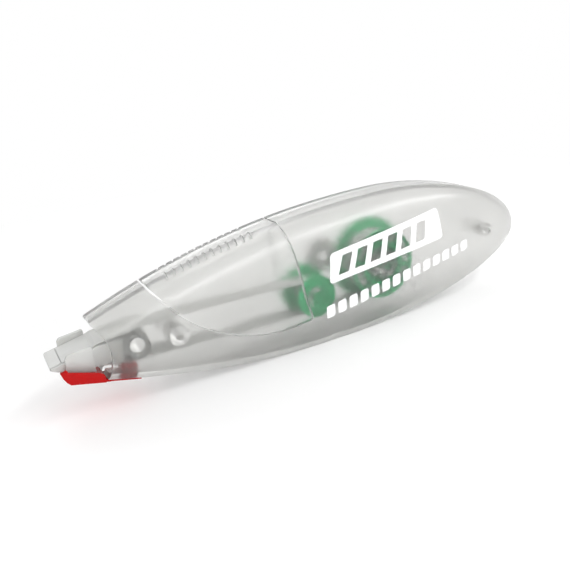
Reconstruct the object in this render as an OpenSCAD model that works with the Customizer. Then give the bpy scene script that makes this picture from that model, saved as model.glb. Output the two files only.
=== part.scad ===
// Correction tape roller, pen style: clear two-part body with a ridged saddle, tape
// drive inside, blade head at the nose and a sliding guard under the blade.
// X runs along the body with the blade at -X, Y across it, +Z up. The origin lies
// under the middle of the whole length, where the belly touches the ground.

/* [Body] */
// Length of the body from the nose opening to the tail
body_len = 114.6; // [106:0.2:125]
// Width across the two half shells
body_w = 14.4; // [14:0.1:18]
// Height from the belly to the highest point of the back
body_h = 32; // [30:0.1:37]
// Height of the tail's tip above the belly
tail_z = 13.6; // [11:0.1:15]
// Distance of the back's highest point from the origin
back_x = 18; // [10:0.5:22]
// Drop of the back from its highest point to the nose
nose_drop = 11.9; // [9:0.1:13]
// Rise of the belly from its lowest point to the nose
nose_rise = 7.7; // [5:0.1:8.5]
// Thickness of the shell walls
wall = 1.2; // [1:0.05:1.3]
// Width of the flat top at the nose and behind the saddle
ridge_w = [3.6, 6.6]; // [2:0.1:8]
// Radius of the scooped edge of the nose opening
mouth_r = 9.7; // [9:0.1:13]

/* [Saddle] */
// Gap round the saddle
saddle_gap = 0.18; // [0.08:0.01:0.2]
// Wider gap at the saddle's front edge, for a fingernail
nail_gap = 0.4; // [0.2:0.05:1]
// Number of grip grooves along each ridge
groove_n = 12; // [6:1:12]
// Distance from one grip groove to the next
groove_pitch = 1.8; // [1.2:0.05:1.9]
// Width and depth of a grip groove
groove_size = [0.6, 0.6]; // [0.3:0.02:0.7]

/* [Tape and drive] */
// Width of the correction tape
tape_w = 5; // [4.2:0.1:5]
// Thickness of the drawn tape strands
tape_t = 0.15; // [0.1:0.01:0.2]
// Supply spool axis, along the body and above the belly
supply_at = [17.8, 14.2]; // [11:0.1:20]
// Take-up spool axis, along the body and above the belly
takeup_at = [-1.1, 11.1]; // [-3:0.1:14]
// Gear module, the pitch diameter for each tooth
gear_m = 0.6; // [0.55:0.01:0.62]
// Teeth on the supply gear
supply_teeth = 32; // [31:1:33]
// Teeth on the take-up gear
takeup_teeth = 19; // [18:1:20]
// Teeth on the idler gear between them
idler_teeth = 12; // [12:1:14]
// Thickness of the gears
gear_t = 1.6; // [1.2:0.1:1.8]
// Radius of the new tape on its core
supply_roll_r = 7.6; // [6:0.1:7.6]
// Radius of the used tape on its core
takeup_roll_r = 3.4; // [3.1:0.1:3.6]
// Radius of the supply core
supply_core_r = 5.2; // [5:0.1:5.6]
// Radius of the near supply flange
supply_flange_r = 8.4; // [7.8:0.1:8.8]
// Radius of the near take-up flange
takeup_flange_r = 5; // [4.2:0.1:5.4]
// Radius of the stub pins that carry the spools
stub_r = 0.9; // [0.7:0.05:1.1]
// Radial clearance of every running fit
run_clear = 0.06; // [0.02:0.01:0.1]
// Number of notches in the slip clutch, a multiple of four
clutch_n = 24; // [20:4:28]

/* [Head] */
// Length of head that stands out of the nose, with the tape over the blade
head_out = 9.4; // [8:0.1:11]
// Width of the blade
blade_w = 5.8; // [5.4:0.1:6]
// Height of the blade's edge above the belly
blade_z = 13; // [12.5:0.1:13.5]
// Turn of the head about the length of the body
head_turn = 16; // [0:1:20]
// Thickness of the cheeks beside the blade
cheek_t = 0.5; // [0.4:0.05:0.7]
// Distance of the eye that holds the head behind the nose opening
eye_back = 8.4; // [7:0.1:10]

/* [Guard] */
// Width of the guard tray
guard_w = 8.4; // [8:0.1:9.4]
// Thickness of the guard's floor and walls
guard_t = 0.5; // [0.4:0.05:0.7]
// Travel of the guard towards the blade
guard_travel = 3; // [1:0.1:4]

/* [Hidden] */
$fn = 48;

// Places along the body
x_tail = (body_len + head_out) / 2;
x_nose = x_tail - body_len;
tape_gap = 0.05;
x_tip = tape_t + tape_gap - x_tail;
low_x = 3;
wide_x = 7.5;
half_w = body_w / 2;
nose_half_w = 5.6;
belly_half_w = 5.6;
land_sink = 0.12;
eye_at = [x_nose + eye_back, blade_z - 0.4];

// Colours
frost = [0.86, 0.87, 0.85, 0.5];
leaf_green = [0.10, 0.58, 0.33];
milk = [0.93, 0.94, 0.92];
guard_red = [0.78, 0.05, 0.04];
paper_white = [0.97, 0.97, 0.97];

// ---- Outer form: each function takes a place along the body and an inset ----
function fade(u, p, q) = pow(max(0, 1 - pow(min(1, abs(u)), p)), q);
function back_z(x, i = 0) = x > back_x
    ? tail_z + (body_h - tail_z - i) * fade((x - back_x) / (x_tail - i - back_x), 1.82, 0.55)
    : body_h - i - nose_drop * pow((back_x - x) / (back_x - x_nose), 2.23);
function belly_curve(x, i) = x > low_x
    ? tail_z - (tail_z - i) * fade((x - low_x) / (x_tail - i - low_x), 1.9, 0.65)
    : i + nose_rise * pow((low_x - x) / (low_x - x_nose), 2);
// The belly's lowest stretch is a short flat land that the body can stand on
function belly_z(x, i = 0) = max(i, belly_curve(x, i) - land_sink);
function side_y(x, i = 0) = x > wide_x
    ? (half_w - i) * fade((x - wide_x) / (x_tail - i - wide_x), 2.2, 0.5)
    : half_w - i - (half_w - nose_half_w) * pow((wide_x - x) / (wide_x - x_nose), 2);
function ridge_y(x, i = 0) = x > back_x
    ? (ridge_w[1] / 2 - i * 0.35) * fade((x - back_x) / (x_tail - i - back_x), 2, 0.5)
    : (ridge_w[0] + (ridge_w[1] - ridge_w[0]) * min(1, (x - x_nose) / (back_x - x_nose - 22))) / 2
      - i * 0.35;
function floor_y(x, i = 0) = (belly_half_w - i * 0.6) * side_y(x, i) / (half_w - i);
function middle_z(x, i = 0) = belly_z(x, i) + 0.42 * (back_z(x, i) - belly_z(x, i));

// One side of a cross-section, from the middle of the back to the middle of the belly
shoulder_from = 20;
flank_from = 30;
arc_steps = 8;
function arc_part(a, from) = (sin(a) - sin(from)) / (1 - sin(from));
function side_points(x, i) =
    let (t = back_z(x, i), b = belly_z(x, i), m = middle_z(x, i),
         w = side_y(x, i), r = ridge_y(x, i), f = floor_y(x, i))
    concat(
        [[0, t]],
        [for (k = [0:arc_steps])
            let (a = shoulder_from + (90 - shoulder_from) * k / arc_steps)
            [r + (w - r) * arc_part(a, shoulder_from), m + (t - m) * cos(a) / cos(shoulder_from)]],
        [for (k = [arc_steps - 1:-1:0])
            let (a = flank_from + (90 - flank_from) * k / arc_steps)
            [f + (w - f) * arc_part(a, flank_from), m + (b - m) * cos(a) / cos(flank_from)]],
        [[0, b]]);
side_n = 2 * arc_steps + 3;

// Stations along the body, closer together towards the tail
station_n = 42;
end_cut = 0.06;
function station(k, from, to) = from + (to - end_cut - from) * sin(90 * k / station_n);

// Triangles of a wall between two grids of points, one after the other, open at its last row
function quad(a, b, c, d) = [[a, b, c], [a, c, d]];
function wall_faces(rows, cols) =
    let (off = rows * cols)
    concat(
        [for (k = [0:rows - 2], j = [0:cols - 2]) let (p = k * cols + j) each concat(
            quad(p, p + cols, p + cols + 1, p + 1),
            quad(off + p, off + p + 1, off + p + cols + 1, off + p + cols))],
        [for (k = [0:rows - 2]) let (p = k * cols, q = p + cols - 1) each concat(
            quad(p, off + p, off + p + cols, p + cols),
            quad(q, q + cols, off + q + cols, off + q))],
        [for (j = [0:cols - 2]) each quad(j, j + 1, off + j + 1, off + j)]);

// A closed half body: the space between the outer form and the form inset by the wall
module half_shell_body(sign) {
    outer = [for (k = [0:station_n]) let (x = station(k, x_nose, x_tail))
        for (p = side_points(x, 0)) [x, sign * p[0], p[1]]];
    inner = [for (k = [0:station_n]) let (x = station(k, x_nose, x_tail - wall))
        for (p = side_points(x, wall)) [x, sign * p[0], p[1]]];
    first = station_n * side_n;
    last = first + side_n - 1;
    off = len(outer);
    faces = concat(
        wall_faces(station_n + 1, side_n),
        [[for (j = [last:-1:first]) j], [for (j = [first:last]) off + j],
         [first, off + first, off + last, last]]);
    polyhedron(concat(outer, inner), sign < 0 ? faces : [for (f = faces) reverse(f)]);
}
function reverse(v) = [for (k = [len(v) - 1:-1:0]) v[k]];

// ---- Saddle outline, seen from the side ----
function bez(p, t) = pow(1 - t, 3) * p[0] + 3 * pow(1 - t, 2) * t * p[1]
                     + 3 * (1 - t) * t * t * p[2] + pow(t, 3) * p[3];
function bez_line(p, n) = [for (k = [0:n]) bez(p, k / n)];
seam_front = [-39.9, 24];
seam_corner = [-4, 7.4];
seam_back = [-9.2, 31];
corner_r = 0.9;
above_back = body_h + 4;
saddle_outline = concat(
    bez_line([seam_front, [-35.5, 16.9], [-25, 3.9], seam_corner], 14),
    bez_line([seam_corner, [-7.2, 17], [-5.6, 24.9], seam_back], 8),
    [[seam_back[0] - 1.2, above_back], [seam_front[0] - 2.2, above_back]]);
module saddle_profile(grow) {
    offset(r = corner_r + grow, $fn = 32) offset(delta = -corner_r) polygon(saddle_outline);
}
// The same wall over the back and both sides, for the stretch that the saddle covers
saddle_from = seam_front[0] - 3.1;
saddle_to = seam_corner[0] + 2;
saddle_steps = 14;
function hoop(x, i) = let (s = side_points(x, i))
    concat([for (k = [side_n - 2:-1:1]) s[k]], [for (k = [1:side_n - 2]) [-s[k][0], s[k][1]]]);
hoop_n = 2 * (side_n - 2);
module saddle_wall() {
    xs = [for (k = [0:saddle_steps]) saddle_from + (saddle_to - saddle_from) * k / saddle_steps];
    outer = [for (x = xs) for (p = hoop(x, 0)) [x, p[0], p[1]]];
    inner = [for (x = xs) for (p = hoop(x, wall)) [x, p[0], p[1]]];
    first = saddle_steps * hoop_n;
    off = len(outer);
    polyhedron(concat(outer, inner), concat(
        wall_faces(saddle_steps + 1, hoop_n),
        [for (j = [first:first + hoop_n - 2]) each quad(j, off + j, off + j + 1, j + 1)]));
}

module along_y(width) {
    rotate([90, 0, 0]) linear_extrude(height = width, center = true) children();
}

// ---- Layout across the body, measured from the middle of the tape ----
flange_gap = 0.3;
flange_t = 0.7;
far_face = tape_w / 2 + flange_gap;
near_face = -far_face;
gear_back = far_face + gear_t;
side_gap = 0.15;
near_wall_y = -(half_w - wall);
boss_r = 2.4;
bore_r = stub_r + run_clear;
flange_front = near_face - flange_t;
stub_len = 1.3;
hub_r = 2.9;

// Idler place, where it meshes with both gears
function pitch_r(teeth) = gear_m * teeth / 2;
link = supply_at - takeup_at;
link_len = norm(link);
to_takeup = pitch_r(takeup_teeth) + pitch_r(idler_teeth);
to_supply = pitch_r(supply_teeth) + pitch_r(idler_teeth);
link_angle = atan2(link[1], link[0]);
idler_angle = link_angle
    + acos((pow(to_takeup, 2) + pow(link_len, 2) - pow(to_supply, 2)) / (2 * to_takeup * link_len));
idler_at = takeup_at + to_takeup * [cos(idler_angle), sin(idler_angle)];
back_angle = atan2(supply_at[1] - idler_at[1], supply_at[0] - idler_at[0]);

// Turn of each gear at rest, so that a tooth of one stands in a gap of the next
takeup_phase = idler_angle;
idler_phase = idler_angle + 180 + 180 / idler_teeth;
idler_step = 360 / idler_teeth;
idler_off = (back_angle - idler_phase) / idler_step;
supply_phase = back_angle + 180 + (0.5 + (idler_off - floor(idler_off))) * 360 / supply_teeth;

// ---- Gears: involute teeth with a little backlash ----
pressure = 20;
backlash = 0.07;
tooth_steps = 4;
function inv(a) = tan(a) * 180 / PI - a;
function tooth_half(r, teeth) =
    let (base = pitch_r(teeth) * cos(pressure), half = 90 / teeth - backlash / pitch_r(teeth) * 90 / PI)
    half + inv(pressure) - (r > base ? inv(acos(base / r)) : 0);
module gear_profile(teeth) {
    pitch = pitch_r(teeth);
    tip = pitch + 0.95 * gear_m;
    root = pitch - 1.15 * gear_m;
    rs = [for (k = [0:tooth_steps]) root + (tip - root) * k / tooth_steps];
    polygon([for (n = [0:teeth - 1]) let (c = 360 * n / teeth) each concat(
        [for (r = rs) let (a = c - tooth_half(r, teeth)) r * [cos(a), sin(a)]],
        [for (k = [tooth_steps:-1:0]) let (r = rs[k], a = c + tooth_half(r, teeth))
            r * [cos(a), sin(a)]])]);
}

// Places a shape drawn round the Z axis on a cross axle at [x, z], from y = from to y = to
module on_axle(at, from) {
    translate([at[0], from, at[1]]) rotate([-90, 0, 0]) children();
}
module disc(at, r, from, to) {
    on_axle(at, from) cylinder(r = r, h = to - from);
}
module ring(at, r_out, r_in, from, to) {
    difference() {
        disc(at, r_out, from, to);
        disc(at, r_in, from - 1, to + 1);
    }
}
module gear(at, teeth, phase, from, to) {
    translate([at[0], to, at[1]]) rotate([90, 0, 0]) linear_extrude(height = to - from)
        rotate(phase) gear_profile(teeth);
}

// ---- Shells ----
snap_at = [x_nose + 17.2, blade_z - 0.6];
rear_snap_at = [x_tail - 11.8, tail_z + 1.4];
pip_at = [[25, 24.2], [22.3, 4.4], [2.1, 2.7]];
snap_r = 2.2;
snap_bore = 0.85;
rear_snap_r = 1.6;
rear_bore = 0.65;
peg_clear = 0.05;
pip_r = 0.75;
eye_r = 3;
eye_bore = 1.65;
eye_half = 2;
reach = half_w;
halves_gap = 0.1;
bore_end = 0.5;

// Solid body, used to trim bosses to the inside of the wall
inside_n = 12;
module inside_body(sign) {
    pts = [for (k = [0:inside_n]) let (x = x_nose + (x_tail - 2 - x_nose) * k / inside_n)
        for (p = side_points(x, wall / 2)) [x, sign * p[0], p[1]]];
    last = side_n - 1;
    function q(k, j) = k * side_n + j;
    faces = concat(
        [for (k = [0:inside_n - 1], j = [0:last - 1]) each
            quad(q(k, j), q(k + 1, j), q(k + 1, j + 1), q(k, j + 1))],
        [for (k = [0:inside_n - 1]) each
            quad(q(k, 0), q(k, last), q(k + 1, last), q(k + 1, 0))],
        [[for (j = [0:last]) q(0, j)], [for (j = [last:-1:0]) q(inside_n, j)]]);
    polyhedron(pts, sign < 0 ? faces : [for (f = faces) reverse(f)]);
}
mouth_deep = 2.6;
module mouth_cut() {
    disc([x_nose + mouth_deep - mouth_r, eye_at[1]], mouth_r, -body_w, body_w);
}
module saddle_cut() {
    along_y(2 * body_w) union() {
        saddle_profile(saddle_gap);
        translate([-nail_gap, 0]) saddle_profile(0);
    }
}
module shell_near() {
    color(frost) difference() {
        union() {
            half_shell_body(-1);
            intersection() {
                inside_body(-1);
                union() {
                    disc(supply_at, boss_r, -reach, flange_front - side_gap);
                    disc(takeup_at, boss_r, -reach, flange_front - side_gap);
                    disc(snap_at, snap_r, -reach, -halves_gap);
                    disc(rear_snap_at, rear_snap_r, -reach, -halves_gap);
                    disc(eye_at, eye_r - 0.5, -reach, -eye_half - side_gap);
                    for (p = pip_at) disc(p, pip_r, -reach, -half_w + wall + 1);
                }
            }
        }
        saddle_cut();
        mouth_cut();
        rail_slot();
        for (a = [supply_at, takeup_at])
            disc(a, bore_r, near_wall_y, flange_front);
        disc(snap_at, snap_bore, near_wall_y + 0.6, 1);
        disc(rear_snap_at, rear_bore, near_wall_y + 1.4, 1);
        disc(eye_at, eye_bore, -eye_half - 1.5, 0);
    }
}
module shell_far() {
    color(frost) difference() {
        union() {
            half_shell_body(1);
            intersection() {
                inside_body(1);
                union() {
                    disc(supply_at, boss_r, gear_back + side_gap, reach);
                    disc(takeup_at, boss_r, gear_back + side_gap, reach);
                    disc(idler_at, boss_r - 0.6, gear_back + side_gap, reach);
                    disc(snap_at, snap_r, halves_gap, reach);
                    disc(rear_snap_at, rear_snap_r, halves_gap, reach);
                    disc(eye_at, eye_r - 0.5, eye_half + side_gap, reach);
                }
            }
            disc(snap_at, snap_bore - peg_clear, -3, 2);
            disc(rear_snap_at, rear_bore - peg_clear, -2, 2);
            disc(eye_at, eye_bore - peg_clear, -eye_half - 1.3, eye_half + 1);
            disc(idler_at, stub_r, far_face - 0.1, gear_back + 1);
        }
        saddle_cut();
        mouth_cut();
        rail_slot();
        for (a = [supply_at, takeup_at])
            disc(a, bore_r, gear_back, half_w - wall + bore_end);
    }
}

// ---- Saddle with its grip grooves across both ridges ----
groove_from = seam_front[0] + 4.5;
groove_len = 2.9;
groove_lean = 38;
module saddle() {
    color(frost) difference() {
        intersection() {
            saddle_wall();
            along_y(2 * body_w) saddle_profile(-saddle_gap);
        }
        for (k = [0:groove_n - 1], s = [-1, 1]) let (x = groove_from + groove_pitch * k)
            translate([x, s * ridge_y(x), back_z(x)]) rotate([-s * groove_lean, 0, 0])
                cube([groove_size[0], groove_len, 2 * groove_size[1]], center = true);
    }
}

// ---- Head ----
blade_edge = 0.28;
cheek_front = x_tip + 2.9;
cheek_back = x_tip + 8.4;
neck_back = x_nose + 5.6;
neck_size = [3.2, 4.4];
neck_low = blade_z - 2.4;
module turned(a = head_turn) {
    translate([0, 0, blade_z]) rotate([a, 0, 0]) children();
}
function blade_top(x) = blade_edge + 0.226 * (x - x_tip);
function blade_low(x) = x < x_tip + 1.3 ? -blade_edge - 0.55 * (x - x_tip)
                                        : -blade_edge - 0.715 - 0.21 * (x - x_tip - 1.3);
module blade_profile() {
    polygon([[x_tip, blade_edge], [x_tip, -blade_edge], [x_tip + 1.3, blade_low(x_tip + 1.3)],
             [cheek_back, blade_low(cheek_back)], [neck_back, blade_low(cheek_back) - 0.2],
             [neck_back, 2.6], [cheek_back + 1, 2.5], [cheek_back, blade_top(cheek_back)]]);
}
module cheek_profile() {
    polygon([[cheek_front - 0.1, -1.9], [cheek_front, 2], [cheek_front + 0.25, 2.5],
             [cheek_front + 0.6, 2.75], [cheek_back - 0.4, 3.3], [cheek_back - 0.1, 3.2],
             [cheek_back, 2.9], [cheek_back + 0.2, -3.3]]);
}
module tip_head() {
    color(milk) difference() {
        union() {
            turned() along_y(blade_w) blade_profile();
            for (s = [-1, 1])
                turned() translate([0, s * (blade_w / 2 + cheek_t / 2 - 0.05), 0])
                    along_y(cheek_t) cheek_profile();
            translate([neck_back - 1, -neck_size[0] / 2, neck_low])
                cube([eye_at[0] - neck_back + 1, neck_size[0], neck_size[1]]);
            disc(eye_at, eye_r, -eye_half, eye_half);
        }
        disc(eye_at, eye_bore, -half_w, half_w);
    }
}

// ---- Guard: a shallow tray under the head, with a strip that slides along the belly ----
guard_front = x_tip + 1.3;
tray_back = x_nose + 0.6;
guard_back = x_nose + 1.5;
strip_back = x_nose + 8.2;
belly_gap = 0.12;
guard_slope = atan2(belly_z(guard_back) - belly_z(strip_back), strip_back - guard_back);
strip_z = belly_z(guard_back) - belly_gap;
rail_web = 1;
rail_foot = 2.4;
rail_len = 3.6;
rail_from = 2.8;
rail_clear = 0.15;
web_top = wall + belly_gap + 0.35;
foot_t = 0.5;
over_travel = 0.2;

// Frame of the sliding rail: its origin is on the strip's top, -X points to the blade
module on_strip() {
    translate([guard_back, 0, strip_z]) rotate([0, guard_slope, 0]) children();
}
module rail_slot() {
    slot_len = rail_len + guard_travel + over_travel + 2 * rail_clear;
    on_strip() translate([rail_from + rail_len + rail_clear - slot_len, -rail_web / 2 - rail_clear, -0.5])
        cube([slot_len, rail_web + 2 * rail_clear, web_top + 1]);
}
function strip_top(x) = strip_z + (guard_back - x) * tan(guard_slope);
floor_edge = guard_front + 1.6;
low = guard_t / cos(guard_slope);
module tray_floor() {
    polygon([[guard_back, strip_z - low], [guard_back, strip_z], [floor_edge, strip_top(floor_edge)],
             [guard_front + 1.05, 10.3], [guard_front + 0.5, 10.1], [guard_front + 1.05, 9.25],
             [floor_edge, strip_top(floor_edge) - low]]);
}
module tray_wall() {
    polygon([[guard_front, 11.5], [guard_front + 0.4, 10.2], [guard_front + 0.95, 9.2],
             [floor_edge, strip_top(floor_edge) - low - 0.02], [tray_back, strip_top(tray_back) - low - 0.02],
             [tray_back, strip_top(tray_back) + 1.2], [tray_back - 0.8, strip_top(tray_back) + 1.9],
             [guard_front + 1.7, 11.15], [guard_front + 1.3, 11.9]]);
}
module tip_guard() {
    strip_len = strip_back - guard_back;
    strip_w = guard_w - guard_t;
    color(guard_red) {
        along_y(strip_w) tray_floor();
        for (s = [-1, 1]) translate([0, s * strip_w / 2, 0]) along_y(guard_t) tray_wall();
        on_strip() {
            translate([-0.6, -strip_w / 2 + 0.1, -guard_t + 0.02])
                cube([strip_len + 0.6, strip_w - 0.2, guard_t - 0.04]);
            translate([rail_from, -rail_web / 2, -guard_t / 2])
                cube([rail_len, rail_web, web_top + guard_t]);
            translate([rail_from, -rail_foot / 2, web_top]) cube([rail_len, rail_foot, foot_t]);
        }
    }
}

// ---- Supply side ----
clutch_r = supply_core_r - 0.85;
notch_r = 0.25;
clutch_deep = 1;
light_hole_r = 1.5;
light_hole_at = 6.1;
spoke_w = 0.8;
spring_t = 0.55;
spring_r = hub_r - 0.1;
nose_r = 0.22;
module supply_gear() {
    color(leaf_green) {
        difference() {
            gear(supply_at, supply_teeth, supply_phase, far_face, gear_back);
            for (k = [0:5]) rotate_about(supply_at, 60 * k)
                disc(supply_at + [light_hole_at, 0], light_hole_r, far_face - 1, gear_back + 1);
        }
        disc(supply_at, hub_r, near_face + clutch_deep, far_face + 0.1);
        disc(supply_at, stub_r, gear_back - 0.1, gear_back + stub_len);
        disc(supply_at, stub_r, flange_front - stub_len, near_face + clutch_deep + 0.1);
    }
}
module rotate_about(at, a) {
    translate([at[0], 0, at[1]]) rotate([0, a, 0]) translate([-at[0], 0, -at[1]]) children();
}

// Spring arms of the slip clutch, each with a nose that rests between two notches
module clutch_hub() {
    color(milk) {
        ring(supply_at, hub_r - 0.3, stub_r + 0.02, near_face + 0.05, near_face + clutch_deep - 0.02);
        for (k = [0:3]) rotate_about(supply_at, 90 * k) {
            intersection() {
                ring(supply_at + [1.2, 0], spring_r, spring_r - spring_t, near_face + 0.1, near_face + 0.9);
                translate([supply_at[0], near_face, supply_at[1] - 0.4]) cube([4.2, 1, 4.2]);
            }
            disc(supply_at + [clutch_r - notch_r, 0], nose_r, near_face + 0.1, near_face + 0.9);
        }
    }
}
module supply_core() {
    color(leaf_green) {
        difference() {
            ring(supply_at, supply_core_r, hub_r + run_clear, near_face, far_face - side_gap);
            disc(supply_at, clutch_r, near_face - 1, near_face + clutch_deep + 0.1);
        }
        for (k = [0:clutch_n - 1]) rotate_about(supply_at, 360 * (k + 0.5) / clutch_n)
            disc(supply_at + [clutch_r, 0], notch_r, near_face, near_face + clutch_deep + 0.2);
    }
}
module supply_flange() {
    rim = 0.8;
    color(leaf_green) {
        ring(supply_at, supply_flange_r, supply_flange_r - rim, flange_front, near_face - 0.02);
        ring(supply_at, supply_core_r + 0.3, clutch_r + 0.1, flange_front, near_face - 0.02);
        for (k = [0:5]) rotate_about(supply_at, 60 * k + 15)
            translate([supply_at[0] + supply_core_r, flange_front + 0.2, supply_at[1] - spoke_w / 2])
                cube([supply_flange_r - supply_core_r - rim + 0.1, flange_t - 0.22, spoke_w]);
    }
}
module supply_roll() {
    color(paper_white)
        ring(supply_at, supply_roll_r, supply_core_r + 0.02, -tape_w / 2, tape_w / 2);
}

// ---- Take-up side ----
takeup_core_r = 3;
takeup_nose_r = 2.6;
module takeup_spool() {
    color(leaf_green) {
        gear(takeup_at, takeup_teeth, takeup_phase, far_face, gear_back);
        disc(takeup_at, takeup_core_r, near_face, far_face + 0.1);
        disc(takeup_at, takeup_nose_r, flange_front, near_face + 0.1);
        disc(takeup_at, stub_r, gear_back - 0.1, gear_back + stub_len);
        disc(takeup_at, stub_r, flange_front - stub_len, flange_front + 0.1);
    }
}
module takeup_flange() {
    color(leaf_green) difference() {
        ring(takeup_at, takeup_flange_r, takeup_nose_r + 0.02, flange_front, near_face - 0.02);
        ring(takeup_at, takeup_flange_r - 0.5, takeup_nose_r + 0.7, flange_front - 1, flange_front + 0.25);
    }
}
module takeup_roll() {
    color(paper_white)
        ring(takeup_at, takeup_roll_r, takeup_core_r + 0.02, -tape_w / 2, tape_w / 2);
}
module idler_gear() {
    color(milk) difference() {
        gear(idler_at, idler_teeth, idler_phase, far_face, gear_back);
        disc(idler_at, stub_r + run_clear, far_face - 1, gear_back + 1);
    }
}

// ---- Tape: flat strips along a path of [x, height above the blade's axis, turn] ----
lift = tape_t / 2 + tape_gap;
function tape_dir(p, k) =
    let (a = p[max(0, k - 1)], b = p[min(len(p) - 1, k + 1)], d = [b[0] - a[0], b[1] - a[1]])
    d / norm(d);
module strip(path) {
    pts = [for (k = [0:len(path) - 1])
        let (p = path[k], d = tape_dir(path, k), a = p[2], across = [0, cos(a), sin(a)],
             up = [-d[1], -d[0] * sin(a), d[0] * cos(a)])
        for (c = [[-1, -1], [1, -1], [1, 1], [-1, 1]])
            [p[0], -p[1] * sin(a), blade_z + p[1] * cos(a)] + c[0] * tape_w / 2 * across
            + c[1] * tape_t / 2 * up];
    last = len(path) - 1;
    polyhedron(pts, concat(
        [[0, 1, 2, 3], [for (j = [3:-1:0]) 4 * last + j]],
        [for (k = [0:last - 1], j = [0:3]) each let (n = (j + 1) % 4)
            [[4 * k + j, 4 * k + 4 + j, 4 * k + 4 + n], [4 * k + j, 4 * k + 4 + n, 4 * k + n]]]));
}
// Twist of the tape between the spools and the turned head
twist_from = x_nose + 18.6;
function twist(x) = head_turn * min(1, max(0, (twist_from - x) / (twist_from - neck_back)));
function over_blade(x) = [x, blade_top(x) + lift, head_turn];
function under_blade(x) = [x, blade_low(x) - lift, head_turn];
function run(from, to, n) = [for (k = [1:n]) let (u = k / n, x = from[0] + (to[0] - from[0]) * u)
    [x, from[1] + (to[1] - from[1]) * u, twist(x)]];
module tape_supply_run() {
    start = [supply_at[0], supply_at[1] - supply_roll_r - lift - blade_z];
    under_eye = [eye_at[0], eye_at[1] - eye_r - 0.65 - blade_z];
    color(paper_white) strip(concat(
        [[start[0], start[1], 0]], run(start, under_eye, 11),
        [for (x = [cheek_back + 0.6, cheek_front + 2, cheek_front - 0.6]) under_blade(x)]));
}
module tape_tip_wrap() {
    color(paper_white) strip(concat(
        [for (x = [cheek_front - 0.8, x_tip + 1.3, x_tip + 0.3]) under_blade(x)],
        [[x_tip - lift, -blade_edge - 0.05, head_turn], [x_tip - lift, blade_edge + 0.06, head_turn]],
        [for (x = [x_tip + 0.3, x_tip + 1.3, cheek_front - 0.8]) over_blade(x)]));
}
module tape_return_run() {
    over_neck = [neck_back, 3.5];
    over_eye = [eye_at[0], eye_at[1] + eye_r + 0.95 - blade_z];
    finish = [takeup_at[0], takeup_at[1] + takeup_roll_r + lift - blade_z];
    color(paper_white) strip(concat(
        [for (x = [cheek_front - 0.6, cheek_front + 2, cheek_back]) over_blade(x)],
        [[cheek_back + 1, 2.85, head_turn], [over_neck[0], over_neck[1], head_turn]],
        [[over_eye[0], over_eye[1], twist(over_eye[0])]], run(over_eye, finish, 9)));
}

shell_near();
shell_far();
saddle();
tip_head();
tip_guard();
supply_gear();
clutch_hub();
supply_core();
supply_flange();
supply_roll();
takeup_spool();
takeup_flange();
takeup_roll();
idler_gear();
tape_supply_run();
tape_tip_wrap();
tape_return_run();
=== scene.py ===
"""Correction tape roller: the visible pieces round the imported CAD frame, laid out as an add-on."""

import math

import bpy
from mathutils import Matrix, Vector


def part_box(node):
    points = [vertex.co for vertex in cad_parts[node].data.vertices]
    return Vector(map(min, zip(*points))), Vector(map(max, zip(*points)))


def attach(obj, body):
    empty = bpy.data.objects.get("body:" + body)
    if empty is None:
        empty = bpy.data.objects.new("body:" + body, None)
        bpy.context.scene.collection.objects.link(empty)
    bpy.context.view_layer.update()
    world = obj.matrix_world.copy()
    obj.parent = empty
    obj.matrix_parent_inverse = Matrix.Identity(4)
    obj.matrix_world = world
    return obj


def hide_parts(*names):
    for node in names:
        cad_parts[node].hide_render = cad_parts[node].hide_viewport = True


bl_info = {
    "name": "Correction tape roller",
    "version": (1, 0, 0),
    "blender": (4, 5, 0),
    "location": "3D View > Sidebar > Tape Roller",
    "description": "Clear shells, saddle, head, guard, tape drive and print of a correction tape roller",
    "category": "Object",
}

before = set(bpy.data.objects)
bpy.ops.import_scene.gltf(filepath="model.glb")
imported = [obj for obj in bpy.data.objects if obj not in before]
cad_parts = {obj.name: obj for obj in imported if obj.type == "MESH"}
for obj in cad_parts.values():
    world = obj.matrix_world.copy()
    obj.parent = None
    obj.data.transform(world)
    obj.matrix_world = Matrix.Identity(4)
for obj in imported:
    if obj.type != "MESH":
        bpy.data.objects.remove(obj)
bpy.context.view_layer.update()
MM = 0.001

# Places that the CAD model gives
NEAR_SIDE_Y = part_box("shell_near")[0].y
GREEN_NODES = ("supply_gear", "supply_core", "supply_flange", "takeup_spool", "takeup_flange")
MILKY_NODES = ("idler_gear", "clutch_hub")
TAPE_RUNS = ("tape_supply_run", "tape_tip_wrap", "tape_return_run")
TAPE_ROLLS = ("supply_roll", "takeup_roll")

# Vertices closer than this are one vertex, and faces that meet at less than these angles shade smoothly
JOIN_WITHIN = 2e-6
SHELL_SMOOTH = math.radians(24)
ROUNDED_SMOOTH = math.radians(35)
INK_SMOOTH = math.radians(30)


# ---- Selection and mesh helpers ----
def only(*pieces):
    """Select these objects and nothing else, with the last one active."""
    if bpy.context.mode != "OBJECT":
        bpy.ops.object.mode_set(mode="OBJECT")
    bpy.ops.object.select_all(action="DESELECT")
    for piece in pieces:
        piece.select_set(True)
        bpy.context.view_layer.objects.active = piece


def edit(piece, kind="VERT"):
    """Enter edit mode on one piece with nothing selected."""
    only(piece)
    bpy.ops.object.mode_set(mode="EDIT")
    bpy.ops.mesh.select_mode(type=kind)
    bpy.ops.mesh.select_all(action="DESELECT")


def done():
    """Leave edit mode."""
    bpy.ops.object.mode_set(mode="OBJECT")


def apply_all(piece):
    """Apply every modifier on the piece, in order."""
    only(piece)
    for modifier in list(piece.modifiers):
        bpy.ops.object.modifier_apply(modifier=modifier.name)


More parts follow.
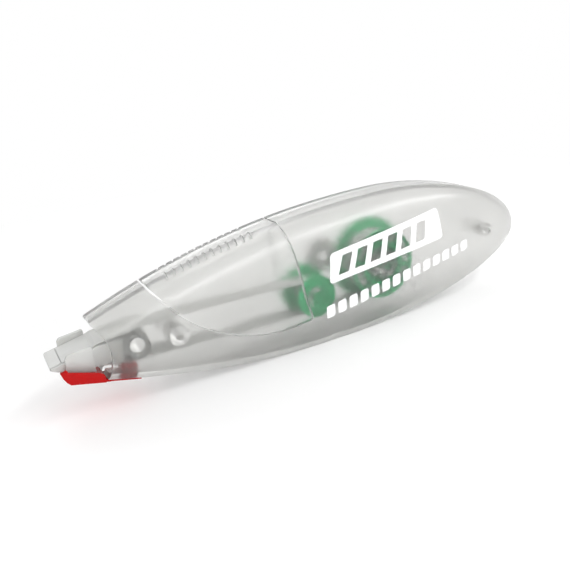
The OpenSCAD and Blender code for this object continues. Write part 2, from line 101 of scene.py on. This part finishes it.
def place(piece, body, surface):
    """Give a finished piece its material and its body."""
    only(piece)
    bpy.ops.object.transform_apply(location=True, rotation=True, scale=True)
    piece.data.materials.clear()
    piece.data.materials.append(surface)
    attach(piece, body)


def merged_copy(node, name):
    """A copy of a CAD node with its loose triangles joined, ready to be finished."""
    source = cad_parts[node]
    piece = source.copy()
    piece.data = source.data.copy()
    piece.name = name
    bpy.context.scene.collection.objects.link(piece)
    edit(piece)
    bpy.ops.mesh.customdata_custom_splitnormals_clear()
    bpy.ops.mesh.select_all(action="SELECT")
    bpy.ops.mesh.remove_doubles(threshold=JOIN_WITHIN)
    done()
    return piece


def softened(piece, width, angle=30.0, flat=3.0):
    """Flatten the triangles into faces and round the hard edges."""
    edit(piece)
    bpy.ops.mesh.select_all(action="SELECT")
    bpy.ops.mesh.dissolve_limited(angle_limit=math.radians(flat))
    done()
    bevel = piece.modifiers.new("edge", "BEVEL")
    bevel.width = width
    bevel.segments = 3
    bevel.limit_method = "ANGLE"
    bevel.angle_limit = math.radians(angle)
    bevel.use_clamp_overlap = True
    apply_all(piece)
    only(piece)
    bpy.ops.object.shade_smooth_by_angle(angle=ROUNDED_SMOOTH)


# ---- Material helpers ----
def new_material(name):
    """A node material with one Principled shader: returns material, nodes, links, shader and output."""
    material = bpy.data.materials.new(name)
    material.use_nodes = True
    nodes = material.node_tree.nodes
    links = material.node_tree.links
    nodes.clear()
    output = nodes.new("ShaderNodeOutputMaterial")
    shader = nodes.new("ShaderNodeBsdfPrincipled")
    links.new(shader.outputs["BSDF"], output.inputs["Surface"])
    return material, nodes, links, shader, output


def noise(nodes, links, scale, detail=4.0, rough=0.55, stretch=None):
    """Noise on object coordinates; scale is in features per metre."""
    where = nodes.new("ShaderNodeTexCoord")
    out = nodes.new("ShaderNodeTexNoise")
    out.inputs["Scale"].default_value = scale
    out.inputs["Detail"].default_value = detail
    out.inputs["Roughness"].default_value = rough
    if stretch:
        mapping = nodes.new("ShaderNodeMapping")
        mapping.inputs["Scale"].default_value = stretch
        links.new(where.outputs["Object"], mapping.inputs["Vector"])
        links.new(mapping.outputs["Vector"], out.inputs["Vector"])
    else:
        links.new(where.outputs["Object"], out.inputs["Vector"])
    return out


def to_range(nodes, links, source, low, high, from_low=0.3, from_high=0.7):
    """Map a factor into a range, clamped."""
    out = nodes.new("ShaderNodeMapRange")
    out.inputs["From Min"].default_value = from_low
    out.inputs["From Max"].default_value = from_high
    out.inputs["To Min"].default_value = low
    out.inputs["To Max"].default_value = high
    links.new(source, out.inputs["Value"])
    return out.outputs["Result"]


def two_tone(nodes, links, source, dark, light):
    """Blend two colours by a factor."""
    ramp = nodes.new("ShaderNodeValToRGB")
    ramp.color_ramp.elements[0].position = 0.3
    ramp.color_ramp.elements[1].position = 0.7
    ramp.color_ramp.elements[0].color = (*dark, 1)
    ramp.color_ramp.elements[1].color = (*light, 1)
    links.new(source, ramp.inputs["Fac"])
    return ramp.outputs["Color"]


def bumped(nodes, links, shader, height, strength, distance):
    """Feed a height into the shader's normal."""
    bump = nodes.new("ShaderNodeBump")
    bump.inputs["Strength"].default_value = strength
    bump.inputs["Distance"].default_value = distance
    links.new(height, bump.inputs["Height"])
    links.new(bump.outputs["Normal"], shader.inputs["Normal"])


def white_rays(nodes, links):
    """1 for the camera's rays, reflections and rays through clear plastic, else 0."""
    path = nodes.new("ShaderNodeLightPath")
    total = path.outputs["Is Camera Ray"]
    for kind in ("Is Transmission Ray", "Is Glossy Ray"):
        either = nodes.new("ShaderNodeMath")
        either.operation = "MAXIMUM"
        links.new(total, either.inputs[0])
        links.new(path.outputs[kind], either.inputs[1])
        total = either.outputs[0]
    return total


def shade(colour, factor):
    """A colour made darker or lighter."""
    return tuple(min(1.0, channel * factor) for channel in colour)


# ---- Materials ----
def frosted_plastic(look):
    """Frosted clear plastic: rough glass with cloudy flow marks and a fine moulded grain."""
    material, nodes, links, shader, output = new_material("frosted_plastic")
    clouds = noise(nodes, links, 90, 3, 0.5, (0.6, 1.0, 1.0))
    grain = noise(nodes, links, 5200, 2, 0.5)
    tint = tuple(look.clear_tint)
    links.new(two_tone(nodes, links, clouds.outputs["Fac"], shade(tint, 0.99), shade(tint, 1.01)),
              shader.inputs["Base Color"])
    links.new(to_range(nodes, links, clouds.outputs["Fac"], look.frost - 0.01, look.frost + 0.01),
              shader.inputs["Roughness"])
    shader.inputs["Transmission Weight"].default_value = look.clearness
    shader.inputs["IOR"].default_value = 1.34
    shader.inputs["Coat Weight"].default_value = 0.35
    shader.inputs["Coat Roughness"].default_value = 0.16
    bumped(nodes, links, shader, grain.outputs["Fac"], 0.05, 0.00002)
    return material


def milky_plastic(look):
    """White natural plastic that lets a little light into itself."""
    material, nodes, links, shader, output = new_material("milky_plastic")
    clouds = noise(nodes, links, 260, 3)
    tint = tuple(look.milk_tint)
    links.new(two_tone(nodes, links, clouds.outputs["Fac"], shade(tint, 0.96), tint),
              shader.inputs["Base Color"])
    links.new(to_range(nodes, links, clouds.outputs["Fac"], 0.32, 0.42), shader.inputs["Roughness"])
    shader.inputs["Subsurface Weight"].default_value = 0.35
    shader.inputs["Subsurface Radius"].default_value = (0.0012, 0.0011, 0.001)
    shader.inputs["Subsurface Scale"].default_value = 1.0
    shader.inputs["IOR"].default_value = 1.5
    grain = noise(nodes, links, 3500, 2)
    bumped(nodes, links, shader, grain.outputs["Fac"], 0.1, 0.00002)
    return material


def glossy_red(look):
    """Polished red plastic with a soft clear reflection."""
    material, nodes, links, shader, output = new_material("glossy_red")
    clouds = noise(nodes, links, 300, 3)
    tint = tuple(look.guard_tint)
    links.new(two_tone(nodes, links, clouds.outputs["Fac"], shade(tint, 0.9), shade(tint, 1.05)),
              shader.inputs["Base Color"])
    links.new(to_range(nodes, links, clouds.outputs["Fac"], 0.16, 0.24), shader.inputs["Roughness"])
    shader.inputs["Specular IOR Level"].default_value = 0.12
    shader.inputs["Coat Weight"].default_value = 0.22
    shader.inputs["Coat Roughness"].default_value = 0.05
    waves = noise(nodes, links, 700, 2)
    bumped(nodes, links, shader, waves.outputs["Fac"], 0.08, 0.00005)
    return material


def green_plastic(look):
    """Green moulded plastic, satin, with faint flow marks."""
    material, nodes, links, shader, output = new_material("green_plastic")
    clouds = noise(nodes, links, 220, 4)
    tint = tuple(look.gear_tint)
    links.new(two_tone(nodes, links, clouds.outputs["Fac"], shade(tint, 0.85), shade(tint, 1.15)),
              shader.inputs["Base Color"])
    links.new(to_range(nodes, links, clouds.outputs["Fac"], 0.28, 0.4), shader.inputs["Roughness"])
    shader.inputs["Coat Weight"].default_value = 0.2
    shader.inputs["Coat Roughness"].default_value = 0.2
    grain = noise(nodes, links, 2600, 2)
    bumped(nodes, links, shader, grain.outputs["Fac"], 0.1, 0.00002)
    return material


def wound_tape(look):
    """Side of a tape roll: fine rings of wound layers, chalky white."""
    material, nodes, links, shader, output = new_material("wound_tape")
    streaks = noise(nodes, links, 2400, 3, 0.6, (1.0, 0.02, 1.0))
    tint = tuple(look.tape_tint)
    links.new(two_tone(nodes, links, streaks.outputs["Fac"], shade(tint, 0.9), tint),
              shader.inputs["Base Color"])
    shader.inputs["Roughness"].default_value = 0.6
    bumped(nodes, links, shader, streaks.outputs["Fac"], 0.15, 0.00003)
    return material


def tape_film(look):
    """Correction tape: chalky white coat on thin film, with a faint drag along its length."""
    material, nodes, links, shader, output = new_material("tape_film")
    streaks = noise(nodes, links, 900, 4, 0.6, (0.12, 1.0, 0.12))
    tint = tuple(look.tape_tint)
    links.new(two_tone(nodes, links, streaks.outputs["Fac"], shade(tint, 0.95), tint),
              shader.inputs["Base Color"])
    links.new(to_range(nodes, links, streaks.outputs["Fac"], 0.45, 0.6), shader.inputs["Roughness"])
    bumped(nodes, links, shader, streaks.outputs["Fac"], 0.12, 0.00002)
    return material


def print_ink(look):
    """Opaque white ink, slightly uneven as pad printing is."""
    material, nodes, links, shader, output = new_material("print_ink")
    specks = noise(nodes, links, 1800, 3)
    tint = tuple(look.print_tint)
    links.new(two_tone(nodes, links, specks.outputs["Fac"], shade(tint, 0.97), tint),
              shader.inputs["Base Color"])
    links.new(to_range(nodes, links, specks.outputs["Fac"], 0.4, 0.5), shader.inputs["Roughness"])
    bumped(nodes, links, shader, specks.outputs["Fac"], 0.08, 0.00001)
    return material


# Between these distances from the middle, in metres, the lit floor runs out into plain white
FLOOR_FADE = (0.08, 0.19)


def pale_floor(look):
    """White studio floor: it keeps the object's shadow near the middle and runs out into plain white."""
    material, nodes, links, shader, output = new_material("pale_floor")
    mottle = noise(nodes, links, 14, 2)
    tint = tuple(look.floor_tint)
    links.new(two_tone(nodes, links, mottle.outputs["Fac"], shade(tint, 0.995), tint),
              shader.inputs["Base Color"])
    shader.inputs["Roughness"].default_value = 0.75
    shader.inputs["Specular IOR Level"].default_value = 0.1
    lift = nodes.new("ShaderNodeEmission")
    lift.inputs["Strength"].default_value = look.floor_lift
    lifted = nodes.new("ShaderNodeAddShader")
    links.new(shader.outputs["BSDF"], lifted.inputs[0])
    links.new(lift.outputs[0], lifted.inputs[1])
    plain = nodes.new("ShaderNodeEmission")
    where = nodes.new("ShaderNodeTexCoord")
    reach = nodes.new("ShaderNodeVectorMath")
    reach.operation = "LENGTH"
    links.new(where.outputs["Object"], reach.inputs[0])
    outward = to_range(nodes, links, reach.outputs["Value"], 0, 1, *FLOOR_FADE)
    seen = white_rays(nodes, links)
    near = nodes.new("ShaderNodeMixShader")
    links.new(seen, near.inputs["Fac"])
    links.new(shader.outputs["BSDF"], near.inputs[1])
    links.new(lifted.outputs[0], near.inputs[2])
    far = nodes.new("ShaderNodeMath")
    far.operation = "MULTIPLY"
    links.new(seen, far.inputs[0])
    links.new(outward, far.inputs[1])
    whole = nodes.new("ShaderNodeMixShader")
    links.new(far.outputs[0], whole.inputs["Fac"])
    links.new(near.outputs[0], whole.inputs[1])
    links.new(plain.outputs[0], whole.inputs[2])
    links.new(whole.outputs[0], output.inputs["Surface"])
    return material


class RollerLook(bpy.types.PropertyGroup):
    """Colours and finishes that a user would change."""

    clear_tint: bpy.props.FloatVectorProperty(
        name="Clear plastic", description="Tint of the frosted shells", subtype="COLOR",
        default=(0.855, 0.855, 0.842), min=0, max=1)
    clearness: bpy.props.FloatProperty(
        name="Clearness", description="Share of light that passes the shells", subtype="FACTOR",
        default=0.98, min=0, max=1)
    frost: bpy.props.FloatProperty(
        name="Frost", description="Roughness of the shells", subtype="FACTOR", default=0.3, min=0.05, max=1)
    milk_tint: bpy.props.FloatVectorProperty(
        name="Head", description="Colour of the head, idler and clutch", subtype="COLOR",
        default=(0.58, 0.585, 0.57), min=0, max=1)
    guard_tint: bpy.props.FloatVectorProperty(
        name="Guard", description="Colour of the tip guard", subtype="COLOR",
        default=(0.45, 0.0, 0.0), min=0, max=1)
    gear_tint: bpy.props.FloatVectorProperty(
        name="Spools", description="Colour of the gears and spools", subtype="COLOR",
        default=(0.0, 0.5, 0.17), min=0, max=1)
    tape_tint: bpy.props.FloatVectorProperty(
        name="Tape", description="Colour of the tape", subtype="COLOR",
        default=(0.66, 0.665, 0.65), min=0, max=1)
    print_tint: bpy.props.FloatVectorProperty(
        name="Print", description="Colour of the printed panel", subtype="COLOR",
        default=(0.95, 0.95, 0.95), min=0, max=1)
    floor_tint: bpy.props.FloatVectorProperty(
        name="Floor", description="Colour of the floor", subtype="COLOR",
        default=(0.9, 0.9, 0.9), min=0, max=1)
    floor_lift: bpy.props.FloatProperty(
        name="Floor lift", description="Light added to what is seen of the floor, to bring it up to white",
        default=0.12, min=0, max=0.5)


class RollerSizes(bpy.types.PropertyGroup):
    """Small sizes of the visible finish."""

    head_edge: bpy.props.FloatProperty(
        name="Head edge", description="Rounding of the head's edges", subtype="DISTANCE",
        default=0.14 * MM, min=0, max=0.3 * MM, precision=5)
    saddle_edge: bpy.props.FloatProperty(
        name="Saddle edge", description="Rounding of the saddle's rim and grooves", subtype="DISTANCE",
        default=0.15 * MM, min=0, max=0.3 * MM, precision=5)
    guard_edge: bpy.props.FloatProperty(
        name="Guard edge", description="Rounding of the guard's edges", subtype="DISTANCE",
        default=0.22 * MM, min=0, max=0.24 * MM, precision=5)
    parting_gap: bpy.props.FloatProperty(
        name="Parting gap", description="Half the fine gap where the shells meet", subtype="DISTANCE",
        default=0.015 * MM, min=0, max=0.05 * MM, precision=6)
    ink: bpy.props.FloatProperty(
        name="Ink", description="Thickness of the printed ink", subtype="DISTANCE",
        default=0.03 * MM, min=0.01 * MM, max=0.1 * MM, precision=6)


MATERIALS = {}


def finish(name):
    """One shared material for each finish, made on first use."""
    makers = {"clear": frosted_plastic, "milk": milky_plastic, "red": glossy_red, "green": green_plastic,
              "roll": wound_tape, "film": tape_film, "ink": print_ink, "floor": pale_floor}
    if name not in MATERIALS:
        MATERIALS[name] = makers[name](bpy.context.scene.roller_look)
    return MATERIALS[name]


class ROLLER_OT_shells(bpy.types.Operator):
    """Make the two frosted half shells"""

    bl_idname = "roller.shells"
    bl_label = "Half shells"

    def execute(self, context):
        gap = context.scene.roller_sizes.parting_gap
        for node, side in (("shell_near", -1), ("shell_far", 1)):
            piece = merged_copy(node, node + "_clear")
            for vertex in piece.data.vertices:
                if abs(vertex.co.y) < ON_PLANE:
                    vertex.co.y = side * gap
            only(piece)
            bpy.ops.object.shade_smooth_by_angle(angle=SHELL_SMOOTH)
            place(piece, "root", finish("clear"))
            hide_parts(node)
        return {"FINISHED"}


class ROLLER_OT_saddle(bpy.types.Operator):
    """Make the frosted grip saddle"""

    bl_idname = "roller.saddle"
    bl_label = "Grip saddle"

    def execute(self, context):
        piece = merged_copy("saddle", "saddle_clear")
        softened(piece, context.scene.roller_sizes.saddle_edge, angle=60, flat=0.5)
        place(piece, "root", finish("clear"))
        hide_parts("saddle")
        return {"FINISHED"}


class ROLLER_OT_head(bpy.types.Operator):
    """Make the blade head with rounded edges"""

    bl_idname = "roller.head"
    bl_label = "Blade head"

    def execute(self, context):
        piece = merged_copy("tip_head", "tip_head_milky")
        softened(piece, context.scene.roller_sizes.head_edge)
        place(piece, "root", finish("milk"))
        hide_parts("tip_head")
        return {"FINISHED"}


class ROLLER_OT_guard(bpy.types.Operator):
    """Make the red tip guard with rounded edges"""

    bl_idname = "roller.guard"
    bl_label = "Tip guard"

    def execute(self, context):
        piece = merged_copy("tip_guard", "tip_guard_red")
        softened(piece, context.scene.roller_sizes.guard_edge)
        place(piece, "guard", finish("red"))
        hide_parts("tip_guard")
        return {"FINISHED"}


class ROLLER_OT_drive(bpy.types.Operator):
    """Finish the gears, spools, clutch and tape"""

    bl_idname = "roller.drive"
    bl_label = "Tape drive"

    def execute(self, context):
        groups = ((GREEN_NODES, "green"), (MILKY_NODES, "milk"), (TAPE_RUNS, "film"), (TAPE_ROLLS, "roll"))
        for nodes, kind in groups:
            for node in nodes:
                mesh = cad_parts[node].data
                mesh.materials.clear()
                mesh.materials.append(finish(kind))
        return {"FINISHED"}


# ---- Print: plates drawn flat in front of the near side, then pressed onto it ----
PLATE_CLEAR = 4 * MM
PLATE_CELL = 0.8 * MM
ON_PLANE = 1e-6


def flat_plate(name, corners, rounding):
    """A flat plate in front of the near side, from four corners [x, z] in millimetres, with round corners."""
    xs = [c[0] for c in corners]
    zs = [c[1] for c in corners]
    centre = (sum(xs) / 4 * MM, NEAR_SIDE_Y - PLATE_CLEAR, sum(zs) / 4 * MM)
    only()
    bpy.ops.mesh.primitive_plane_add(size=MM, location=centre, rotation=(math.pi / 2, 0, 0))
    piece = bpy.context.object
    piece.name = name
    bpy.ops.object.transform_apply(location=True, rotation=True, scale=True)
    by_height = sorted(corners, key=lambda c: c[1])
    low, high = by_height[:2], by_height[2:]
    for vertex in piece.data.vertices:
        pair = low if vertex.co.z < centre[2] else high
        pick = min(pair) if vertex.co.x < centre[0] else max(pair)
        vertex.co.x, vertex.co.z = pick[0] * MM, pick[1] * MM
    edit(piece)
    bpy.ops.mesh.select_all(action="SELECT")
    bpy.ops.mesh.bevel(offset=rounding * MM, segments=5, affect="VERTICES")
    done()
    return piece


def cut_grid(piece):
    """Cut a flat plate into cells, so that it can follow the curved side."""
    box = [piece.data.vertices[0].co.copy(), piece.data.vertices[0].co.copy()]
    for vertex in piece.data.vertices:
        for axis in (0, 2):
            box[0][axis] = min(box[0][axis], vertex.co[axis])
            box[1][axis] = max(box[1][axis], vertex.co[axis])
    edit(piece)
    for axis, normal in ((0, (1, 0, 0)), (2, (0, 0, 1))):
        count = int((box[1][axis] - box[0][axis]) / PLATE_CELL)
        for k in range(1, count + 1):
            spot = Vector((0, 0, 0))
            spot[axis] = box[0][axis] + k * PLATE_CELL
            bpy.ops.mesh.select_all(action="SELECT")
            bpy.ops.mesh.bisect(plane_co=spot, plane_no=normal)
    done()


def lay_on(piece, target, ink):
    """Press a flat plate onto the shell's side and give the ink its thickness."""
    wrap = piece.modifiers.new("lay", "SHRINKWRAP")
    wrap.wrap_method = "PROJECT"
    wrap.use_project_x = False
    wrap.use_project_y = True
    wrap.use_project_z = False
    wrap.use_negative_direction = False
    wrap.use_positive_direction = True
    wrap.target = target
    wrap.offset = ink
    apply_all(piece)
    edit(piece)
    bpy.ops.mesh.select_all(action="SELECT")
    bpy.ops.mesh.normals_make_consistent(inside=False)
    done()
    if sum(polygon.normal.y for polygon in piece.data.polygons) > 0:
        edit(piece)
        bpy.ops.mesh.select_all(action="SELECT")
        bpy.ops.mesh.flip_normals()
        done()
    skin = piece.modifiers.new("ink", "SOLIDIFY")
    skin.thickness = ink * 0.8
    skin.offset = 0
    apply_all(piece)
    only(piece)
    bpy.ops.object.shade_smooth_by_angle(angle=INK_SMOOTH)


# Corners of the panel, [x, z] in millimetres: top left, bottom left, bottom right, top right
PANEL = [(1.8, 21.4), (0.8, 14.5), (34.0, 17.5), (33.3, 25.1)]
PANEL_ROUND = 0.9

# The windows in it, as shares of its length and height
WINDOW_COUNT = 6
WINDOW_FROM = 0.07
WINDOW_STEP = 0.135
WINDOW_WIDTH = 0.085
WINDOW_UP = 0.2
WINDOW_HEIGHT = 0.6
WINDOW_LEAN = 0.035


def panel_point(along, up):
    """A point [x, z] in the slanted panel; both shares run from 0 to 1."""
    (x_tl, z_tl), (x_bl, z_bl), (x_br, z_br), (x_tr, z_tr) = PANEL
    low = (x_bl + (x_br - x_bl) * along, z_bl + (z_br - z_bl) * along)
    high = (x_tl + (x_tr - x_tl) * along, z_tl + (z_tr - z_tl) * along)
    return (low[0] + (high[0] - low[0]) * up, low[1] + (high[1] - low[1]) * up)


def window(k):
    """Four corners of leaning window k in the panel."""
    left = WINDOW_FROM + WINDOW_STEP * k
    right = left + WINDOW_WIDTH
    top = WINDOW_UP + WINDOW_HEIGHT
    return [panel_point(left + WINDOW_LEAN, top), panel_point(left, WINDOW_UP),
            panel_point(right, WINDOW_UP), panel_point(right + WINDOW_LEAN, top)]


def inside(corners, x, z):
    """True if a point lies in the four-cornered outline, given in order."""
    signs = []
    for k in range(4):
        (x0, z0), (x1, z1) = corners[k], corners[(k + 1) % 4]
        signs.append((x1 - x0) * (z - z0) - (z1 - z0) * (x - x0) > 0)
    return all(signs) or not any(signs)


def knock_out(piece, corners):
    """Cut a four-cornered window out of a flat plate."""
    edit(piece, "FACE")
    for k in range(4):
        (x0, z0), (x1, z1) = corners[k], corners[(k + 1) % 4]
        bpy.ops.mesh.select_all(action="SELECT")
        across = Vector((z1 - z0, 0, x0 - x1)).normalized()
        bpy.ops.mesh.bisect(plane_co=(x0 * MM, 0, z0 * MM), plane_no=across)
    bpy.ops.mesh.select_all(action="DESELECT")
    done()
    for polygon in piece.data.polygons:
        polygon.select = inside(corners, polygon.center.x / MM, polygon.center.z / MM)
    bpy.ops.object.mode_set(mode="EDIT")
    bpy.ops.mesh.delete(type="FACE")
    done()


# The row of dashes under the panel, [x, z] in millimetres, with its height at either end
DASH_COUNT = 14
DASH_ROUND = 0.5
DASH_LINE = ((-0.6, 7.8), (42.9, 13.9))
DASH_HEIGHT = (3.1, 2.5)
DASH_SHARE = 0.72


def dash(k):
    """Four corners of dash k in the row under the panel."""
    (x0, z0), (x1, z1) = DASH_LINE
    start = k / DASH_COUNT
    end = start + DASH_SHARE / DASH_COUNT
    half = (DASH_HEIGHT[0] + (DASH_HEIGHT[1] - DASH_HEIGHT[0]) * start) / 2
    left = (x0 + (x1 - x0) * start, z0 + (z1 - z0) * start)
    right = (x0 + (x1 - x0) * end, z0 + (z1 - z0) * end)
    return [(left[0], left[1] + half), (left[0], left[1] - half),
            (right[0], right[1] - half), (right[0], right[1] + half)]


class ROLLER_OT_print(bpy.types.Operator):
    """Print the plain panel and the row of dashes on the near side"""

    bl_idname = "roller.print"
    bl_label = "Printed panel"

    def execute(self, context):
        ink = context.scene.roller_sizes.ink
        target = bpy.data.objects["shell_near_clear"]
        plates = [flat_plate("print_panel", PANEL, PANEL_ROUND)]
        for k in range(WINDOW_COUNT):
            knock_out(plates[0], window(k))
        for k in range(DASH_COUNT):
            plates.append(flat_plate("print_dash_%02d" % (k + 1), dash(k), DASH_ROUND))
        for piece in plates:
            cut_grid(piece)
            lay_on(piece, target, ink)
            place(piece, "root", finish("ink"))
        return {"FINISHED"}


# Lamps: name, place, length and width in metres, power in watts
LAMPS = (
    ("key", (0.17, -0.22, 0.36), (0.45, 0.05), 0.6),
    ("strip", (0.25, -0.53, 0.19), (0.75, 0.03), 1.3),
    ("fill", (-0.45, -0.4, 0.35), (0.4, 0.4), 0.4),
    ("back", (0.1, 0.5, 0.45), (0.5, 0.3), 0.8),
)
LAMP_AIM = Vector((0, 0, 15)) * MM
WORLD_LIGHT = 0.68
FLOOR_SIZE = 4
FLOOR_BELOW = 0.05 * MM


class ROLLER_OT_stage(bpy.types.Operator):
    """Set the floor, the lights, the world and the camera"""

    bl_idname = "roller.stage"
    bl_label = "Studio"

    def execute(self, context):
        scene = context.scene
        only()
        bpy.ops.mesh.primitive_plane_add(size=FLOOR_SIZE, location=(0, 0, -FLOOR_BELOW))
        floor = bpy.context.object
        floor.name = "floor"
        bpy.ops.object.transform_apply(location=True, rotation=True, scale=True)
        floor.data.materials.append(finish("floor"))
        for name, spot, size, power in LAMPS:
            data = bpy.data.lights.new(name, "AREA")
            data.shape = "RECTANGLE"
            data.size, data.size_y = size
            data.energy = power
            lamp = bpy.data.objects.new(name, data)
            scene.collection.objects.link(lamp)
            lamp.location = spot
            lamp.rotation_euler = (LAMP_AIM - Vector(spot)).to_track_quat("-Z", "Y").to_euler()
        set_world(scene)
        set_camera(scene)
        scene.view_settings.view_transform = "Standard"
        return {"FINISHED"}


def set_world(scene):
    """Even light all round, and plain white for what the camera, gloss and clear plastic see."""
    world = bpy.data.worlds.new("studio")
    scene.world = world
    world.use_nodes = True
    nodes, links = world.node_tree.nodes, world.node_tree.links
    nodes.clear()
    output = nodes.new("ShaderNodeOutputWorld")
    soft = nodes.new("ShaderNodeBackground")
    soft.inputs["Color"].default_value = (1, 1, 1, 1)
    soft.inputs["Strength"].default_value = WORLD_LIGHT
    white = nodes.new("ShaderNodeBackground")
    white.inputs["Color"].default_value = (1, 1, 1, 1)
    white.inputs["Strength"].default_value = 1.0
    mix = nodes.new("ShaderNodeMixShader")
    links.new(white_rays(nodes, links), mix.inputs["Fac"])
    links.new(soft.outputs[0], mix.inputs[1])
    links.new(white.outputs[0], mix.inputs[2])
    links.new(mix.outputs[0], output.inputs["Surface"])


# Camera: turned to the left of the near side, a little above, rolled so that the tail rises
CAMERA_TURN = math.radians(-26)
CAMERA_RISE = math.radians(20.5)
CAMERA_ROLL = math.radians(6.75)
CAMERA_REACH = 174.4 * MM
CAMERA_LENS = 47.368
SENSOR = 36
AIM = Vector((-3, 0, 14.67)) * MM
AIM_OFF = (0.02, 0.00667)


def set_camera(scene):
    """Place the camera by its turn, rise, roll and distance from the aim point."""
    back = Vector((math.sin(CAMERA_TURN) * math.cos(CAMERA_RISE),
                   -math.cos(CAMERA_TURN) * math.cos(CAMERA_RISE), math.sin(CAMERA_RISE)))
    level = Vector((math.cos(CAMERA_TURN), math.sin(CAMERA_TURN), 0))
    above = back.cross(level)
    right = math.cos(CAMERA_ROLL) * level - math.sin(CAMERA_ROLL) * above
    up = math.sin(CAMERA_ROLL) * level + math.cos(CAMERA_ROLL) * above
    data = bpy.data.cameras.new("camera")
    data.sensor_width = SENSOR
    data.lens = CAMERA_LENS
    data.clip_start = 0.005
    data.clip_end = 10
    camera = bpy.data.objects.new("camera", data)
    scene.collection.objects.link(camera)
    camera.location = AIM + CAMERA_REACH * (back - AIM_OFF[0] * right - AIM_OFF[1] * up)
    turn = camera.matrix_world.copy()
    for row in range(3):
        turn[row][0], turn[row][1], turn[row][2] = right[row], up[row], back[row]
        turn[row][3] = camera.location[row]
    camera.matrix_world = turn
    scene.camera = camera


STEPS = ("shells", "saddle", "head", "guard", "drive", "print", "stage")


class ROLLER_PT_panel(bpy.types.Panel):
    """Sidebar panel that lists the steps"""

    bl_idname = "ROLLER_PT_panel"
    bl_label = "Tape Roller"
    bl_space_type = "VIEW_3D"
    bl_region_type = "UI"
    bl_category = "Tape Roller"

    def draw(self, context):
        for step in STEPS:
            self.layout.operator("roller." + step)
        for group in (context.scene.roller_look, context.scene.roller_sizes):
            for name in group.__annotations__:
                self.layout.prop(group, name)


CLASSES = (RollerLook, RollerSizes, ROLLER_OT_shells, ROLLER_OT_saddle, ROLLER_OT_head, ROLLER_OT_guard,
           ROLLER_OT_drive, ROLLER_OT_print, ROLLER_OT_stage, ROLLER_PT_panel)


def register():
    for item in CLASSES:
        bpy.utils.register_class(item)
    bpy.types.Scene.roller_look = bpy.props.PointerProperty(type=RollerLook)
    bpy.types.Scene.roller_sizes = bpy.props.PointerProperty(type=RollerSizes)


def unregister():
    del bpy.types.Scene.roller_sizes
    del bpy.types.Scene.roller_look
    for item in reversed(CLASSES):
        bpy.utils.unregister_class(item)


def main():
    """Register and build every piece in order."""
    register()
    for step in STEPS:
        getattr(bpy.ops.roller, step)()


if __name__ == "__main__":
    main()
